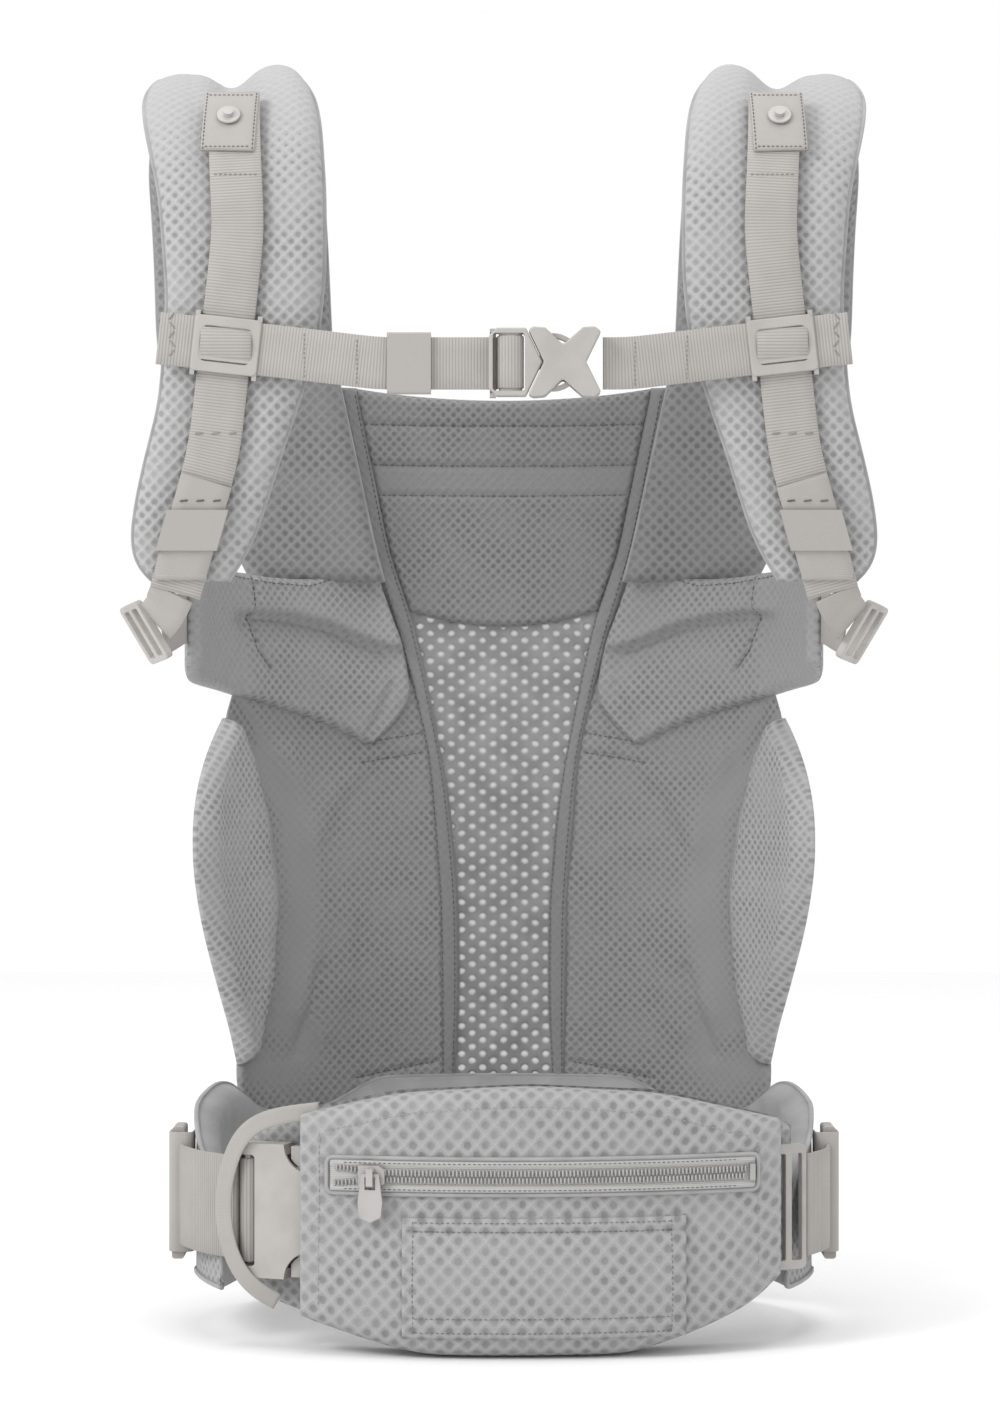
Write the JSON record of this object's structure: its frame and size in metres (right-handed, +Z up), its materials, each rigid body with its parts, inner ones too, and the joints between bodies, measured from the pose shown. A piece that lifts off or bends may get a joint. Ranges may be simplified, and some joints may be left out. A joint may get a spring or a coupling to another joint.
{
  "type": "soft baby carrier",
  "caption": "Soft structured baby carrier with padded waist belt, mesh body panel, arched shoulder straps, chest strap, side-release buckles and zipped lumbar pouch.",
  "frame": {"origin": "on the ground under the middle of the carrier standing in its worn shape", "axes": "+Z up, +Y the way the wearer faces, +X the wearer's right"},
  "size_m": [0.3792, 0.2373, 0.6345],
  "materials": {
    "spacer_mesh": "matt diamond spacer mesh",
    "open_mesh": "matt open mesh with hexagonal holes",
    "smooth_lining": "smooth soft lining",
    "binding_tape": "folded edge tape",
    "webbing": "ribbed woven webbing",
    "elastic": "woven elastic tape",
    "zipper_tape": "woven zipper tape",
    "buckle_plastic": "satin moulded",
    "painted_trim": "satin paint"
  },
  "bodies": {
    "carrier": {"anchor_patch_left": "webbing", "anchor_patch_right": "webbing", "belt_cover": "spacer_mesh", "belt_foam": "smooth_lining", "center_mesh": "open_mesh", "head_panel": "spacer_mesh", "leg_pad_left": "spacer_mesh", "leg_pad_right": "spacer_mesh", "lumbar_pad": "spacer_mesh", "panel_binding_left": "binding_tape", "panel_binding_right": "binding_tape", "pouch": "spacer_mesh", "safety_loop": "elastic", "seat_side_left": "spacer_mesh", "seat_side_right": "spacer_mesh", "shoulder_pad_left": "spacer_mesh", "shoulder_pad_right": "spacer_mesh", "shoulder_webbing_left": "webbing", "shoulder_webbing_right": "webbing", "side_wing_left": "spacer_mesh", "side_wing_right": "spacer_mesh", "slot_pocket": "spacer_mesh", "snap_stud_left": "painted_trim", "snap_stud_right": "painted_trim", "tunnel_webbing": "webbing", "waist_buckle_female": "buckle_plastic", "waist_keeper_left": "webbing", "waist_keeper_right": "webbing", "waist_triglide": "buckle_plastic", "waist_webbing_left": "webbing", "waist_webbing_right": "webbing", "webbing_end_left": "webbing", "webbing_end_right": "webbing", "webbing_tail_left": "webbing", "webbing_tail_right": "webbing", "wing_loop_left": "webbing", "wing_loop_right": "webbing", "zipper_stop": "buckle_plastic", "zipper_tape": "zipper_tape", "zipper_teeth": "buckle_plastic"},
    "chest_right": {"chest_slider_right": "buckle_plastic", "chest_webbing_right": "webbing", "chest_buckle_female": "buckle_plastic"},
    "chest_left": {"chest_slider_left": "buckle_plastic", "chest_webbing_left": "webbing"},
    "chest_male": {"chest_buckle_male": "buckle_plastic"},
    "chest_prong_upper": {"chest_prong_upper": "buckle_plastic"},
    "chest_prong_lower": {"chest_prong_lower": "buckle_plastic"},
    "chest_keeper": {"chest_keeper": "elastic"},
    "waist_male": {"waist_buckle_male": "buckle_plastic"},
    "waist_prong_upper": {"waist_prong_upper": "buckle_plastic"},
    "waist_prong_lower": {"waist_prong_lower": "buckle_plastic"},
    "zipper_slider": {"zipper_slider": "painted_trim"},
    "zipper_pull": {"zipper_pull": "painted_trim"},
    "strap_keeper_left": {"strap_keeper_left": "elastic"},
    "strap_keeper_right": {"strap_keeper_right": "elastic"},
    "strap_adjuster_left": {"strap_adjuster_left": "buckle_plastic"},
    "strap_adjuster_right": {"strap_adjuster_right": "buckle_plastic"}
  },
  "joints": [
    {"name": "chest_strap_height_right", "type": "slide", "parent": "carrier", "child": "chest_right", "axis": [-0.1093, 0, 0.994], "range_m": [-0.03, 0.034]},
    {"name": "chest_strap_height_left", "type": "slide", "parent": "carrier", "child": "chest_left", "axis": [0.1093, 0, 0.994], "range_m": [-0.03, 0.034]},
    {"name": "chest_buckle_release", "type": "slide", "parent": "chest_right", "child": "chest_male", "axis": [-1, 0, 0], "range_m": [0, 0.026]},
    {"name": "chest_prong_upper_squeeze", "type": "hinge", "parent": "chest_male", "child": "chest_prong_upper", "pos_m": [0.0158, -0.112, 0.4846], "axis": [0, 1, 0], "range_deg": [0, 7], "stiffness_Nm_per_rad": 0.05},
    {"name": "chest_prong_lower_squeeze", "type": "hinge", "parent": "chest_male", "child": "chest_prong_lower", "pos_m": [0.0158, -0.112, 0.4654], "axis": [0, -1, 0], "range_deg": [0, 7], "stiffness_Nm_per_rad": 0.05},
    {"name": "chest_keeper_slide", "type": "slide", "parent": "chest_left", "child": "chest_keeper", "axis": [-1, 0, 0], "range_m": [0, 0.01]},
    {"name": "waist_buckle_release", "type": "hinge", "parent": "carrier", "child": "waist_male", "pos_m": [0, 0.206, 0.067], "axis": [0, 0, 1], "range_deg": [0, 6.5], "deforming": ["tunnel_webbing"]},
    {"name": "waist_prong_upper_squeeze", "type": "hinge", "parent": "waist_male", "child": "waist_prong_upper", "pos_m": [-0.08392, -0.09252, 0.0839], "axis": [-0.3428, -0.9394, 0], "range_deg": [0, 8], "stiffness_Nm_per_rad": 0.1},
    {"name": "waist_prong_lower_squeeze", "type": "hinge", "parent": "waist_male", "child": "waist_prong_lower", "pos_m": [-0.08392, -0.09252, 0.0501], "axis": [0.3428, 0.9394, 0], "range_deg": [0, 8], "stiffness_Nm_per_rad": 0.1},
    {"name": "zipper_slide", "type": "hinge", "parent": "carrier", "child": "zipper_slider", "pos_m": [0, 0.206, 0.087], "axis": [0, 0, 1], "range_deg": [-2.5, 31]},
    {"name": "zipper_pull_flip", "type": "hinge", "parent": "zipper_slider", "child": "zipper_pull", "pos_m": [-0.06381, -0.11675, 0.0882], "axis": [-0.981, 0.194, 0], "range_deg": [0, 150]},
    {"name": "strap_keeper_left_slide", "type": "slide", "parent": "carrier", "child": "strap_keeper_left", "axis": [0.2811, -0.1663, 0.9452], "range_m": [-0.006, 0.008]},
    {"name": "strap_adjuster_left_tilt", "type": "hinge", "parent": "carrier", "child": "strap_adjuster_left", "pos_m": [-0.176, -0.056, 0.3475], "axis": [0.499, 0.1198, -0.8583], "range_deg": [0, 20], "deforming": ["webbing_end_left", "wing_loop_left"]},
    {"name": "strap_keeper_right_slide", "type": "slide", "parent": "carrier", "child": "strap_keeper_right", "axis": [-0.2811, -0.1663, 0.9452], "range_m": [-0.006, 0.008]},
    {"name": "strap_adjuster_right_tilt", "type": "hinge", "parent": "carrier", "child": "strap_adjuster_right", "pos_m": [0.176, -0.056, 0.3475], "axis": [-0.499, 0.1198, -0.8583], "range_deg": [0, 20], "deforming": ["webbing_end_right", "wing_loop_right"]}
  ],
  "couplings": [
    {"joint": "chest_strap_height_left", "follows": "chest_strap_height_right", "ratio": 1},
    {"joint": "chest_prong_lower_squeeze", "follows": "chest_prong_upper_squeeze", "ratio": 1},
    {"joint": "waist_prong_lower_squeeze", "follows": "waist_prong_upper_squeeze", "ratio": 1}
  ]
}
